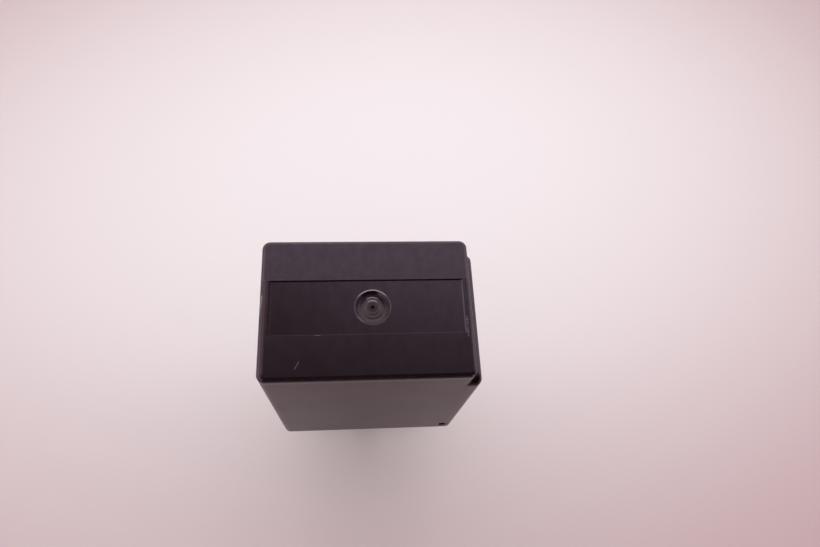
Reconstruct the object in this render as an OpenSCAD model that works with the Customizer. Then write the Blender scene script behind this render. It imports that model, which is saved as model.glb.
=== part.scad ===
// Plug-in changeover relay: a moulded dust cover and base, five blade terminals,
// and a coil that pulls a hinged armature with its contact spring.
// Millimetres. X is the width, Y the depth with the front at -Y, and Z is up.
// The origin is centred under the blade tips, on the surface that the relay stands on.

/* [Cover] */
// Overall width, side shoulder included
cover_w = 23.1; // [22.6:0.1:26]
// Depth from front to back
cover_d = 15.3; // [15.1:0.1:18]
// Height above the lower edge
cover_h = 28; // [27:0.1:34]
// Wall thickness
wall = 1; // [0.85:0.05:1.05]
// Radius of the upright outside corners
corner_r = 0.85; // [0.7:0.05:1.6]
// Radius of the outside top edges
edge_r = 0.45; // [0.2:0.05:0.6]
// Radius of the upright inside corners
inside_r = 0.6; // [0.4:0.05:0.9]
// How far the side shoulder stands out past the upper block
shoulder_out = 1.1; // [0.6:0.05:1.2]
// How far the side shoulder lies below the top
shoulder_drop = 3.6; // [2.5:0.1:6]

/* [Cover top] */
// Width of the sunk panel
panel_w = 20.3; // [16:0.1:20.6]
// Depth of the sunk panel, front to back
panel_d = 6; // [5:0.1:9]
// How far the panel is sunk
panel_sink = 0.12; // [0.05:0.01:0.2]
// Diameter of the round gate dimple
dimple_dia = 3.5; // [3.4:0.1:4.6]
// Depth of the dimple's steep wall
dimple_deep = 0.32; // [0.2:0.02:0.6]
// Height of the sharp lip round the dimple
lip_h = 0.08; // [0.04:0.01:0.1]
// Width of the lip at its foot
lip_w = 0.18; // [0.15:0.01:0.3]
// Diameter of the sprue stump in the dimple
stump_dia = 1.7; // [1.2:0.1:1.8]
// Height of the sprue stump, over both of its steps
stump_h = 0.18; // [0.1:0.02:0.3]

/* [Latches] */
// Width of each latch window
latch_w = 0.9; // [0.7:0.05:1]
// Height of each latch window
latch_h = 1.4; // [1:0.05:1.5]
// Distance from the cover's side wall to the middle of the window
latch_in = 0.5; // [0.5:0.05:1.5]
// Height of the window above the cover's lower edge
latch_lift = 1.2; // [0.8:0.05:1.4]

/* [Base] */
// Thickness of the base plate
base_t = 2.6; // [2.4:0.05:3]
// Depth of the pockets in the underside
pocket_deep = 0.6; // [0.3:0.05:1]
// Width of the rim and of the collars round the blades
rib_w = 0.9; // [0.6:0.05:1.1]
// Height of the rests that carry the magnet frame
rest_h = 2; // [1.7:0.05:2.6]

/* [Blades] */
// Length below the cover
blade_len = 11; // [8:0.1:14]
// Thickness of the terminal strip
blade_t = 0.8; // [0.6:0.05:0.9]
// Width of the two load blades
load_w = 6.3; // [4.8:0.1:6.5]
// Width of the resting-contact and coil blades
small_w = 4.8; // [2.8:0.1:5]
// Distance from the cover's side to the middle of a load blade
load_in = 3.15; // [2.9:0.05:3.3]
// Distance from the cover's front or back to the middle of a coil blade
coil_in = 2.55; // [2.35:0.05:2.6]
// Length of the tapered tip
tip_h = 1.2; // [0.8:0.1:2]

/* [Magnet] */
// Thickness of the iron frame
yoke_t = 1.5; // [1.2:0.05:1.6]
// Width of the iron frame
yoke_w = 10.4; // [9.6:0.1:11]
// Diameter of the core
core_dia = 4.6; // [3.8:0.1:5]
// Diameter of the pole head
pole_dia = 7.4; // [6.4:0.1:8]
// Thickness of the pole head
pole_t = 0.9; // [0.6:0.05:1.2]
// Thickness of the armature
armature_t = 1.4; // [1.1:0.05:1.6]
// Width of the armature over the pole
armature_w = 9.8; // [8.6:0.1:11]
// Thickness of the bobbin flanges
flange_t = 1; // [0.7:0.05:1.2]
// How far the winding stays inside the edge of the flanges
wind_in = 0.55; // [0.4:0.05:1.2]
// Pitch of the winding's turns
turn_pitch = 0.4; // [0.3:0.05:0.6]

/* [Contacts] */
// Free width between the risers of the two fixed contacts
bay_w = 2.9; // [2.7:0.05:3.3]
// Angle that the armature tilts through, in degrees
stroke = 3.4; // [2.6:0.1:4]
// Thickness of the contact spring
spring_t = 0.25; // [0.2:0.01:0.3]
// Width of the contact spring at the armature
spring_w = 6; // [5:0.1:6.6]
// Width of the contact spring at the contact
spring_end_w = 3.6; // [3:0.1:4.2]
// Diameter of the moving contact
moving_dia = 2.4; // [2:0.1:2.6]
// Diameter of the fixed contacts
fixed_dia = 2.6; // [2.2:0.1:2.8]
// Height of every contact head
head_h = 0.55; // [0.4:0.05:0.65]
// Width of the risers that carry the fixed contacts
riser_w = 2.8; // [2.2:0.1:3]

/* [Resistor] */
// Diameter of the resistor's body
resistor_dia = 2; // [1.6:0.1:2.2]
// Length of the resistor's body
resistor_len = 4.6; // [3.6:0.1:5.4]
// Diameter of its leads
lead_dia = 0.5; // [0.4:0.05:0.55]

/* [Fits] */
// Gap between pieces that are pressed or slipped together
fit = 0.04; // [0.02:0.01:0.06]
// Gap between pieces that lie on each other
touch = 0.02; // [0.01:0.01:0.04]
// Gap between the magnet and the cover's wall
wall_gap = 0.15; // [0.1:0.05:0.3]
// Gap between the ceiling and the highest contact rivet
roof_gap = 0.9; // [0.6:0.1:1.6]

/* [Hidden] */
$fn = 48;
cut = 0.5;              // how far a cut runs past the face that it opens

// Levels, from the blade tips up
seat_z = blade_len;
top_z = seat_z + cover_h;
ceiling_z = top_z - wall;
floor_z = seat_z + base_t;
frame_z = floor_z + rest_h;
// Cover and cavity in plan
block_w = cover_w - shoulder_out;
block_x = -shoulder_out / 2;
cavity_w = cover_w - 2 * wall;
cavity_d = cover_d - 2 * wall;
latch_x = cavity_w / 2 - latch_in;
inside_edge_r = 0.3;
dimple_wall = 0.25;     // how far the dimple's steep wall leans in
dimple_fall = 0.12;     // fall of the dimple's floor towards the middle, per millimetre
step_out = 0.4;         // outer step of the sprue's stump past the inner one
step_run = 0.16;        // how far the side of each step leans in
pit_dia = 0.45;         // pit in the stump's middle
pit_deep = 0.3;
pad_t = 0.5;            // thickening inside the roof below the dimple
pad_rim = 0.4;          // how far it reaches past the dimple at its face
pad_foot = 1;           // and where it meets the roof
// Blades in plan
load_x = cover_w / 2 - load_in;
coil_y = cover_d / 2 - coil_in;
tip_in = 0.7;
tip_bevel = 0.2;
ledge_h = 0.6;          // terminal shoulders that rest on the base
ledge_w = 0.9;          // how much wider they are than their blade
bend_r = blade_t;       // bends in the terminals, at mid thickness
jog_angle = 45;
// Contact side, from the right wall inwards
riser_gap = 0.65;       // between the riser of the resting contact and the bobbin
riser_87a_x = load_x - blade_t - bay_w;
contact_x = (riser_87a_x + load_x) / 2;
riser_inner_y = small_w / 2;
tongue_edge = 0.4;      // metal round the fixed contacts
tongue_w = fixed_dia + 2 * tongue_edge;
// Stack behind the magnet, from the left wall inwards
rivet_dia = 1.4;
rivet_head_dia = 2.4;
rivet_head_h = 0.4;
head_taper = 0.5;
rivet_y = 1.7;
riser_30_x = -cavity_w / 2 + wall_gap + rivet_head_h + blade_t / 2;
leg_x = riser_30_x + blade_t / 2 + touch + spring_t / 2;
hinge_x = leg_x + spring_t / 2 + touch;
yoke_x = hinge_x + yoke_t / 2;
yoke_bend_r = yoke_t / 2 + wall_gap / 2;
flange_x = hinge_x + yoke_t + wall_gap;      // left edge of the flanges
flange_w = riser_87a_x - blade_t / 2 - riser_gap - flange_x;
flange_d = cavity_d - 10 * wall_gap;
coil_x = flange_x + flange_w / 2;
coil_dia = min(flange_w, flange_d) - 2 * wind_in;
frame_end = 1.1;        // iron frame past the core
frame_end_x = coil_x + core_dia / 2 + frame_end;
// Heights that follow from the ceiling down to the pole face
dome_r = 6;             // crown of the moving contact's two faces
shank_dia = 1.2;
peen_h = 0.3;
peen_flare = 0.7;       // how much wider than its shank a riveted-over end is
resting_top_z = ceiling_z - roof_gap - peen_h;
resting_face_z = resting_top_z - blade_t - head_h;
arm_z = armature_t + touch;      // underside of the contact arm above the pole face
crown_z = arm_z + spring_t + head_h - dome_r;
pole_z = resting_face_z - touch - dome_r - (contact_x - hinge_x) * sin(stroke) - crown_z * cos(stroke);
working_face_z = pole_z + arm_z - head_h - touch;
working_top_z = working_face_z - head_h;
pole_gap = 0.03;        // what stays open when the armature is pulled in
// Bobbin
bobbin_z = frame_z + yoke_t + touch;
bobbin_top_z = pole_z - pole_gap - pole_t - touch;
sleeve_wall = 0.6;
sleeve_dia = core_dia + 2 * sleeve_wall;
winding_z = bobbin_z + flange_t;
winding_len = bobbin_top_z - flange_t - winding_z;
// Coil terminal posts
post_w = 1.2;
post_in = 0.75;         // from the flange's edge to the middle of the post
post_h = 2;             // above the flange
post_x = coil_x + flange_w / 2 - post_in;
post_z = winding_z + post_h;
arm_h = 0.9;
wire_dia = 0.3;
// Spring
rivet_lift = 8.6;       // rivets above the iron frame's foot
rivet_over = 2;         // riser past the rivets
tail_len = 2.4;         // spring past the rivets
rivet_z = frame_z + rivet_lift;
tail_z = rivet_z - tail_len;
knee_r = 1.3;
knee_out = 0.9;
knee_angle = atan(3 / 4);  // a slope of 3 in 4
knee_bend_r = 0.5;
knee_x = leg_x - knee_out + knee_r;
arm_mid = arm_z + spring_t / 2;
arm_line_x = hinge_x - arm_mid * sin(stroke);
arm_line_z = pole_z + arm_mid * cos(stroke);
knee_z = arm_line_z + ((knee_x - arm_line_x) * sin(stroke) - knee_r) / cos(stroke);
arm_start_x = hinge_x + (knee_x - hinge_x) * cos(stroke) + (knee_z - pole_z) * sin(stroke);
armature_rivet_in = 3.6;
armature_rivet_x = hinge_x + armature_rivet_in;
armature_rivet_dia = 1.2;
armature_head_dia = 2.1;
nose_out = 0.6;         // armature past the pole head
armature_end_x = coil_x + pole_dia / 2 + nose_out;
horn_w = 1.1;
horn_h = 0.9;
horn_gap = 0.2;
// Resistor
resistor_x = contact_x;
cradle_h = 0.8;         // resistor above the base
resistor_z = floor_z + resistor_dia / 2 + cradle_h;
lead_y = coil_y + blade_t / 2 + touch + lead_dia / 2;

// Straight run and rise of a jog that shifts a strip sideways by offset, with two bends of radius r
function jog_run(offset, angle, r) = (offset - 2 * r * (1 - cos(angle))) / sin(angle);
function jog_rise(offset, angle, r) = 2 * r * sin(angle) + jog_run(offset, angle, r) * cos(angle);

// Half of an upright section with a rounded top edge
module half_section(width, height, edge) {
  square([width, height - edge]);
  square([width - edge, height]);
  translate([width - edge, height - edge])
    intersection() {
      circle(edge);
      square(edge);
    }
}

// Both halves of the section, extruded to the length given
module rounded_bar(width, height, edge, length) {
  rotate([90, 0, 0])
    linear_extrude(length, center = true)
      for (side = [0, 1])
        mirror([side, 0]) half_section(width / 2, height, edge);
}

// Block on Z = 0 with round upright corners and round top edges
module soft_block(width, depth, height, corner, edge) {
  for (sx = [-1, 1], sy = [-1, 1])
    translate([sx * (width / 2 - corner), sy * (depth / 2 - corner), 0])
      rotate_extrude() half_section(corner, height, edge);
  rounded_bar(width, height, edge, depth - 2 * corner);
  rotate([0, 0, 90]) rounded_bar(depth, height, edge, width - 2 * corner);
}

// Plate on Z = 0 with round upright corners
module round_plate(width, depth, height, corner) {
  linear_extrude(height) {
    square([width, depth - 2 * corner], center = true);
    square([width - 2 * corner, depth], center = true);
    for (sx = [-1, 1], sy = [-1, 1])
      translate([sx * (width / 2 - corner), sy * (depth / 2 - corner)]) circle(corner);
  }
}

// Box given by its two opposite corners
module box(low, high) {
  translate(low) cube(high - low);
}

// Round rod between two points
module rod(from, to, dia) {
  run = to - from;
  translate(from)
    rotate([0, acos(run[2] / norm(run)), atan2(run[1], run[0])])
      cylinder(h = norm(run), d = dia);
}

// One bend of a strip that runs up from the origin and turns towards +X, or -X if angle is negative
module bend(width, thick, angle, r) {
  mirror([angle > 0 ? 1 : 0, 0, 0])
    translate([-r, 0, 0])
      rotate([90, 0, 0])
        rotate_extrude(angle = abs(angle))
          translate([r - thick / 2, -width / 2]) square([thick, width]);
}

// Bent strip that starts up along +Z: flat lengths, each followed by a bend of [angle, radius];
// children carry it on from the last bend
module bent_strip(width, thick, flats, bends, i = 0) {
  if (i < len(flats) && flats[i] > 0)
    translate([-thick / 2, -width / 2, 0]) cube([thick, width, flats[i]]);
  if (i < len(bends))
    translate([0, 0, flats[i]]) {
      side = sign(bends[i][0]) * bends[i][1];
      bend(width, thick, bends[i][0], bends[i][1]);
      translate([side, 0, 0]) rotate([0, bends[i][0], 0]) translate([-side, 0, 0])
        bent_strip(width, thick, flats, bends, i + 1) children();
    }
  else
    children();
}

// Blade with its tip at the origin: the strip's face looks along X
module blade(width, length) {
  intersection() {
    rotate([90, 0, 90])
      linear_extrude(blade_t, center = true)
        polygon([[-width / 2 + tip_in, 0], [width / 2 - tip_in, 0], [width / 2, tip_h],
                 [width / 2, length], [-width / 2, length], [-width / 2, tip_h]]);
    rotate([90, 0, 0])
      linear_extrude(width, center = true)
        polygon([[-blade_t / 2 + tip_bevel, 0], [blade_t / 2 - tip_bevel, 0],
                 [blade_t / 2, tip_h], [blade_t / 2, length],
                 [-blade_t / 2, length], [-blade_t / 2, tip_h]]);
  }
}

// Moves what is drawn with the armature flat on the pole to its released, tilted place
module released() {
  translate([hinge_x, 0, pole_z]) rotate([0, -stroke, 0]) translate([-hinge_x, 0, -pole_z]) children();
}

// Both rivet holes or shanks through the frame, spring and riser
module spring_rivet_shafts(dia) {
  for (side = [-1, 1])
    translate([riser_30_x - blade_t, side * rivet_y, rivet_z])
      rotate([0, 90, 0]) cylinder(h = hinge_x + yoke_t - riser_30_x + blade_t, d = dia);
}

// Sunk panel: a shallow recess with sloped walls, with its floor on Z = 0
module panel_recess() {
  height = panel_sink + cut;
  intersection() {
    rotate([90, 0, 0])
      linear_extrude(panel_d + 2 * height, center = true)
        polygon([[-panel_w / 2 + panel_sink, 0], [panel_w / 2 - panel_sink, 0],
                 [panel_w / 2 + cut, height], [-panel_w / 2 - cut, height]]);
    rotate([90, 0, 90])
      linear_extrude(panel_w + 2 * height, center = true)
        polygon([[-panel_d / 2 + panel_sink, 0], [panel_d / 2 - panel_sink, 0],
                 [panel_d / 2 + cut, height], [-panel_d / 2 - cut, height]]);
  }
}

// Round dimple over the gate: a steep wall, a floor that falls towards the middle, and the low stump of the
// sprue with two steps and a pit
module gate_dimple() {
  rim_r = dimple_dia / 2;
  floor_r = rim_r - dimple_wall;
  stump_r = stump_dia / 2;
  step_r = stump_r + step_out;
  step_foot = -dimple_deep - (floor_r - step_r) * dimple_fall;
  step_top = step_foot + stump_h / 2;
  stump_top = step_foot + stump_h;
  translate([0, 0, top_z - panel_sink])
    rotate_extrude()
      polygon([[0, cut], [0, stump_top - pit_deep], [pit_dia / 2, stump_top - pit_deep], [pit_dia / 2, stump_top],
               [stump_r - step_run, stump_top], [stump_r, step_top], [step_r - step_run, step_top],
               [step_r, step_foot], [floor_r, -dimple_deep], [rim_r + dimple_wall * cut / dimple_deep, cut]]);
}

// Space inside the cover, stepped with its shoulder and held off by the pad under the dimple
module cover_cavity() {
  difference() {
    translate([0, 0, seat_z - cut]) {
      translate([block_x, 0, 0])
        soft_block(block_w - 2 * wall, cavity_d, cover_h - wall + cut, inside_r, inside_edge_r);
      soft_block(cavity_w, cavity_d, cover_h - shoulder_drop - wall + cut, inside_r, inside_edge_r);
    }
    translate([0, 0, ceiling_z - pad_t])
      cylinder(h = pad_t + cut, d1 = dimple_dia + 2 * pad_rim, d2 = dimple_dia + 2 * pad_foot);
  }
}

module cover() {
  color("#3a3238")
    difference() {
      union() {
        difference() {
          translate([0, 0, seat_z]) {
            translate([block_x, 0, 0]) soft_block(block_w, cover_d, cover_h, corner_r, edge_r);
            soft_block(cover_w, cover_d, cover_h - shoulder_drop, corner_r, edge_r);
          }
          translate([block_x, 0, top_z - panel_sink]) panel_recess();
        }
        translate([0, 0, top_z - panel_sink - lip_h])
          cylinder(h = 2 * lip_h, d1 = dimple_dia + 4 * lip_w, d2 = dimple_dia);
      }
      cover_cavity();
      gate_dimple();
      for (turn = [0, 180])
        rotate([0, 0, turn])
          translate([latch_x - latch_w / 2, -cover_d / 2 - cut, seat_z + latch_lift])
            cube([latch_w, wall + 2 * cut, latch_h]);
    }
}

// Latch nose on the base's edge, with a sloped lower side that lets the cover slide over it
module latch_nose() {
  reach = wall * 0.8;
  high = latch_h - 2 * fit;
  translate([latch_x, -cavity_d / 2 + fit, seat_z + latch_lift + fit])
    rotate([90, 0, -90])
      linear_extrude(latch_w - 2 * fit, center = true)
        polygon([[-cut, 0], [0, 0], [reach, high / 2], [reach, high], [-cut, high]]);
}

// Every place where a blade passes the base, widened by gap all round
module blade_slots(gap, from_z, to_z) {
  module slot(x, y, size_x, size_y) {
    box([x - size_x / 2 - gap, y - size_y / 2 - gap, from_z], [x + size_x / 2 + gap, y + size_y / 2 + gap, to_z]);
  }
  for (side = [-1, 1]) {
    slot(side * load_x, 0, blade_t, load_w);
    slot(0, side * coil_y, small_w, blade_t);
  }
  slot(0, 0, blade_t, small_w);
}

module base() {
  plate_w = cavity_w - 2 * fit;
  plate_d = cavity_d - 2 * fit;
  guide_t = 0.9;
  guide_h = 3;
  rest_w = 1.3;
  rest_y = small_w / 2 + rest_w;
  cradle_w = 0.8;
  color("#2e2a2e")
    difference() {
      union() {
        translate([0, 0, seat_z]) round_plate(plate_w, plate_d, base_t, inside_r - fit);
        for (turn = [0, 180]) rotate([0, 0, turn]) latch_nose();
        // rests under the iron frame, with a cross tie
        for (side = [-1, 1])
          box([hinge_x + yoke_t, side * rest_y - rest_w / 2, floor_z - cut],
              [coil_x + rest_w / 2, side * rest_y + rest_w / 2, frame_z - touch]);
        box([hinge_x + yoke_t, -rest_y, floor_z - cut], [hinge_x + yoke_t + rest_w, rest_y, frame_z - touch]);
        // guides beside the riser of the working contact
        for (side = [-1, 1])
          translate([load_x - blade_t, side * (load_w / 2 + ledge_w / 2 + fit + guide_t / 2) - guide_t / 2, floor_z - cut])
            cube([2 * blade_t, guide_t, guide_h + cut]);
        // cradle for the resistor
        for (side = [-1, 1])
          box([resistor_x - resistor_dia * 0.65, side * resistor_len / 4 - cradle_w / 2, floor_z - cut],
              [resistor_x + resistor_dia * 0.65, side * resistor_len / 4 + cradle_w / 2, resistor_z - resistor_dia / 10]);
      }
      translate([resistor_x, 0, resistor_z])
        rotate([90, 0, 0]) cylinder(h = resistor_len + 2 * cut, d = resistor_dia + 2 * fit, center = true);
      // pockets in the underside, between the rim and the collars round the blades
      difference() {
        translate([0, 0, seat_z - cut])
          round_plate(plate_w - 2 * rib_w, plate_d - 2 * rib_w, pocket_deep + cut, inside_r - fit);
        blade_slots(rib_w, seat_z - 2 * cut, seat_z + pocket_deep + cut);
      }
      blade_slots(fit, seat_z - cut, floor_z + cut / 10);
    }
}

// Shoulders of a terminal, which rest on the base
module ledge(width) {
  translate([-blade_t / 2, -width / 2 - ledge_w / 2, floor_z]) cube([blade_t, width + ledge_w, ledge_h]);
}

module terminal_30() {
  riser_in = 0.6;
  riser = load_w - 2 * riser_in;
  shift = riser_30_x + load_x;
  rise = jog_rise(-shift, jog_angle, bend_r);
  color("#b9b4a6")
    difference() {
      translate([-load_x, 0, 0]) {
        blade(load_w, floor_z);
        ledge(load_w);
        translate([0, 0, floor_z + ledge_h])
          bent_strip(riser, blade_t,
                     [0, jog_run(-shift, jog_angle, bend_r), rivet_z + rivet_over - floor_z - ledge_h - rise],
                     [[-jog_angle, bend_r], [jog_angle, bend_r]]);
      }
      spring_rivet_shafts(rivet_dia + 2 * fit);
    }
}

module terminal_87() {
  neck_h = 6;
  color("#b9b4a6")
    difference() {
      union() {
        translate([load_x, 0, 0]) {
          blade(load_w, floor_z);
          ledge(load_w);
          bent_strip(tongue_w, blade_t,
                     [working_top_z - blade_t / 2 - bend_r, load_x - bend_r - contact_x + tongue_w / 2],
                     [[-90, bend_r]]);
        }
        // wider foot of the riser
        translate([load_x - blade_t / 2, -load_w / 2, floor_z])
          cube([blade_t, load_w, working_top_z - floor_z - neck_h]);
      }
      translate([contact_x, 0, working_top_z - blade_t - cut])
        cylinder(h = blade_t + 2 * cut, d = shank_dia + 2 * fit);
    }
}

module terminal_87a() {
  tongue_top = resting_top_z;
  run_z = floor_z + ledge_h;
  foot_z = run_z + 2 * bend_r;
  tongue_end_x = contact_x + tongue_w / 2;
  outer_y = riser_inner_y + riser_w;
  step_up = 1;
  plate_h = 1.8;
  color("#b9b4a6")
    difference() {
      union() {
        blade(small_w, floor_z);
        ledge(small_w);
        translate([0, 0, run_z])
          bent_strip(small_w, blade_t, [0, riser_87a_x - 2 * bend_r, step_up], [[90, bend_r], [-90, bend_r]]);
        // plate that carries the riser to the back, clear of the contact arm
        box([riser_87a_x - blade_t / 2, -small_w / 2, foot_z], [riser_87a_x + blade_t / 2, outer_y, foot_z + plate_h]);
        translate([riser_87a_x, riser_inner_y + riser_w / 2, foot_z])
          bent_strip(riser_w, blade_t,
                     [tongue_top - blade_t / 2 - bend_r - foot_z, tongue_end_x - riser_87a_x - bend_r],
                     [[90, bend_r]]);
        // arm of the tongue that reaches over the moving contact
        box([tongue_end_x - tongue_w, -tongue_w / 2, tongue_top - blade_t], [tongue_end_x, outer_y, tongue_top]);
      }
      translate([contact_x, 0, tongue_top - blade_t - cut])
        cylinder(h = blade_t + 2 * cut, d = shank_dia + 2 * fit);
    }
}

// Coil terminal on the front or back: blade, arm along the base and post through the bobbin's flange
module coil_terminal(side) {
  color("#b9b4a6")
    translate([0, side * coil_y, 0]) {
      rotate([0, 0, 90]) blade(small_w, floor_z);
      box([-small_w / 2 - ledge_w / 2, -blade_t / 2, floor_z],
          [post_x + post_w / 2, blade_t / 2, floor_z + arm_h]);
      box([post_x - post_w / 2, -blade_t / 2, floor_z], [post_x + post_w / 2, blade_t / 2, post_z]);
    }
}

module terminal_85() {
  coil_terminal(-1);
}

module terminal_86() {
  coil_terminal(1);
}

module bobbin() {
  color("#e8e2d0")
    difference() {
      translate([coil_x, 0, 0]) {
        for (z = [bobbin_z, bobbin_top_z - flange_t])
          translate([0, 0, z]) round_plate(flange_w, flange_d, flange_t, inside_r);
        translate([0, 0, bobbin_z]) cylinder(h = bobbin_top_z - bobbin_z, d = sleeve_dia);
      }
      translate([coil_x, 0, bobbin_z - cut])
        cylinder(h = bobbin_top_z - bobbin_z + 2 * cut, d = core_dia + 2 * fit);
      for (side = [-1, 1])
        translate([post_x, side * coil_y, bobbin_z + flange_t / 2])
          cube([post_w + 2 * fit, blade_t + 2 * fit, flange_t + 2 * cut], center = true);
    }
}

// Coil with its outer turns, and both ends wrapped round the coil terminals' posts
module winding() {
  turn_d = turn_pitch * 1.1;
  turns = floor(winding_len / turn_pitch) - 1;
  slack = (winding_len - turns * turn_pitch) / 2;
  wraps = 3;
  wrap_r = norm([post_w, blade_t]) / 2 + wire_dia / 2 + fit;
  wrap_lift = 0.7;
  wrap_z = winding_z + wrap_lift;
  color("#b5642c") {
    translate([coil_x, 0, winding_z])
      rotate_extrude() {
        translate([sleeve_dia / 2 + touch, touch])
          square([(coil_dia - sleeve_dia) / 2 - turn_d / 2 - touch, winding_len - 2 * touch]);
        for (i = [0 : turns - 1])
          translate([(coil_dia - turn_d) / 2, slack + (i + 0.5) * turn_pitch]) circle(d = turn_d);
      }
    for (side = [-1, 1]) {
      post = [post_x, side * coil_y, wrap_z];
      coil = [coil_x, 0, wrap_z];
      way = (post - coil) / norm(post - coil);
      rod(coil + way * (coil_dia / 2 - turn_pitch), post - way * wrap_r, wire_dia);
      translate(post)
        rotate_extrude()
          for (i = [0 : wraps - 1])
            translate([wrap_r, i * wire_dia * 0.85]) circle(d = wire_dia, $fn = 24);
    }
  }
}

module core() {
  neck_r = core_dia * 0.35;
  shank_z = frame_z + yoke_t;
  head_z = pole_z - pole_gap - pole_t;
  color("#8d8f92")
    translate([coil_x, 0, 0]) {
      translate([0, 0, frame_z - peen_h - touch]) cylinder(h = peen_h, r1 = neck_r, r2 = neck_r + peen_flare / 2);
      translate([0, 0, frame_z - peen_h]) cylinder(h = yoke_t + 2 * peen_h, r = neck_r);
      translate([0, 0, shank_z + touch]) cylinder(h = head_z - shank_z, d = core_dia);
      translate([0, 0, head_z]) cylinder(h = pole_t, d = pole_dia);
    }
}

module yoke() {
  foot_run = frame_end_x - yoke_x - yoke_bend_r;
  leg_run = pole_z - touch - frame_z - yoke_t / 2 - yoke_bend_r;
  color("#8d8f92")
    difference() {
      union() {
        translate([frame_end_x, 0, frame_z + yoke_t / 2])
          rotate([0, -90, 0]) bent_strip(yoke_w, yoke_t, [foot_run, leg_run], [[90, yoke_bend_r]]);
        // horns that locate the armature
        for (side = [-1, 1])
          translate([hinge_x, side * (yoke_w - horn_w) / 2 - horn_w / 2, pole_z - cut])
            cube([yoke_t, horn_w, horn_h + cut]);
      }
      translate([coil_x, 0, frame_z - cut]) cylinder(h = yoke_t + 2 * cut, r = core_dia * 0.35 + fit);
      spring_rivet_shafts(rivet_dia + 2 * fit);
    }
}

module armature() {
  bevel = 0.35;
  nose_in = 1.6;
  neck_w = yoke_w - 2 * horn_w - 2 * horn_gap;
  neck_x = hinge_x + yoke_t + horn_gap;
  color("#9a9c9e")
    released()
      translate([0, 0, pole_z])
        difference() {
          intersection() {
            linear_extrude(armature_t)
              polygon([[hinge_x, -neck_w / 2], [neck_x, -neck_w / 2], [neck_x, -armature_w / 2],
                       [armature_end_x - nose_in, -armature_w / 2],
                       [armature_end_x, -armature_w / 2 + nose_in], [armature_end_x, armature_w / 2 - nose_in],
                       [armature_end_x - nose_in, armature_w / 2], [neck_x, armature_w / 2],
                       [neck_x, neck_w / 2], [hinge_x, neck_w / 2]]);
            rotate([90, 0, 0])
              linear_extrude(armature_w + 2 * cut, center = true)
                polygon([[hinge_x, 0], [armature_end_x, 0], [armature_end_x, armature_t],
                         [hinge_x + bevel, armature_t], [hinge_x, armature_t - bevel]]);
          }
          for (side = [-1, 1])
            translate([armature_rivet_x, side * rivet_y, -cut])
              cylinder(h = armature_t + 2 * cut, d = armature_rivet_dia + 2 * fit);
        }
}

// One leaf: riveted tail behind the frame, loop over the hinge and arm along the armature
module contact_spring() {
  jog = jog_rise(knee_out, knee_angle, knee_bend_r);
  lead_up = 0.4;
  taper_len = 1.4;
  taper_x = armature_end_x + 0.4;
  color("#c08a4a")
    difference() {
      translate([leg_x, 0, tail_z])
        bent_strip(spring_w, spring_t,
                   [knee_z - lead_up - jog - tail_z, jog_run(knee_out, knee_angle, knee_bend_r), lead_up],
                   [[-knee_angle, knee_bend_r], [knee_angle, knee_bend_r], [90 - stroke, knee_r]])
          translate([spring_t / 2, 0, 0]) rotate([0, -90, 0])
            linear_extrude(spring_t)
              translate([-arm_start_x, 0])
                difference() {
                  union() {
                    polygon([[arm_start_x, -spring_w / 2], [taper_x - taper_len, -spring_w / 2],
                             [taper_x, -spring_end_w / 2], [contact_x, -spring_end_w / 2],
                             [contact_x, spring_end_w / 2], [taper_x, spring_end_w / 2],
                             [taper_x - taper_len, spring_w / 2], [arm_start_x, spring_w / 2]]);
                    translate([contact_x, 0]) circle(d = spring_end_w);
                  }
                  for (side = [-1, 1])
                    translate([armature_rivet_x, side * rivet_y]) circle(d = armature_rivet_dia + 2 * fit);
                  translate([contact_x, 0]) circle(d = shank_dia + 2 * fit);
                }
      spring_rivet_shafts(rivet_dia + 2 * fit);
    }
}

module spring_rivets() {
  color("#a9a294") {
    spring_rivet_shafts(rivet_dia);
    for (side = [-1, 1])
      translate([riser_30_x - blade_t / 2 - touch, side * rivet_y, rivet_z])
        rotate([0, -90, 0]) cylinder(h = rivet_head_h, d1 = rivet_head_dia, d2 = rivet_head_dia - head_taper);
  }
}

module armature_rivets() {
  top = arm_z + spring_t + touch;
  color("#a9a294")
    released()
      for (side = [-1, 1])
        translate([armature_rivet_x, side * rivet_y, pole_z]) {
          cylinder(h = top, d = armature_rivet_dia);
          translate([0, 0, top]) cylinder(h = rivet_head_h, d1 = armature_head_dia, d2 = armature_head_dia - head_taper);
        }
}

// Contact button that lies on Z = 0, with a crowned face
module crowned_head(dia) {
  intersection() {
    translate([0, 0, touch]) cylinder(h = head_h - touch, d = dia);
    translate([0, 0, head_h - dome_r]) sphere(dome_r, $fn = 96);
  }
}

module moving_contact() {
  color("#d6d2c4")
    released()
      translate([contact_x, 0, pole_z + arm_z]) {
        translate([0, 0, -2 * touch]) cylinder(h = spring_t + 4 * touch, d = shank_dia);
        translate([0, 0, spring_t]) crowned_head(moving_dia);
        mirror([0, 0, 1]) crowned_head(moving_dia);
      }
}

// Fixed contact with its face at Z = 0 looking down, and its shank riveted over above the strip
module fixed_contact() {
  cylinder(h = head_h - touch, d = fixed_dia);
  cylinder(h = head_h + blade_t + peen_h, d = shank_dia);
  translate([0, 0, head_h + blade_t + touch]) cylinder(h = peen_h - touch, d1 = shank_dia + peen_flare, d2 = shank_dia + peen_flare / 2);
}

module working_contact() {
  color("#d6d2c4")
    translate([contact_x, 0, working_face_z]) mirror([0, 0, 1]) fixed_contact();
}

module resting_contact() {
  color("#d6d2c4")
    translate([contact_x, 0, resting_face_z]) fixed_contact();
}

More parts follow.
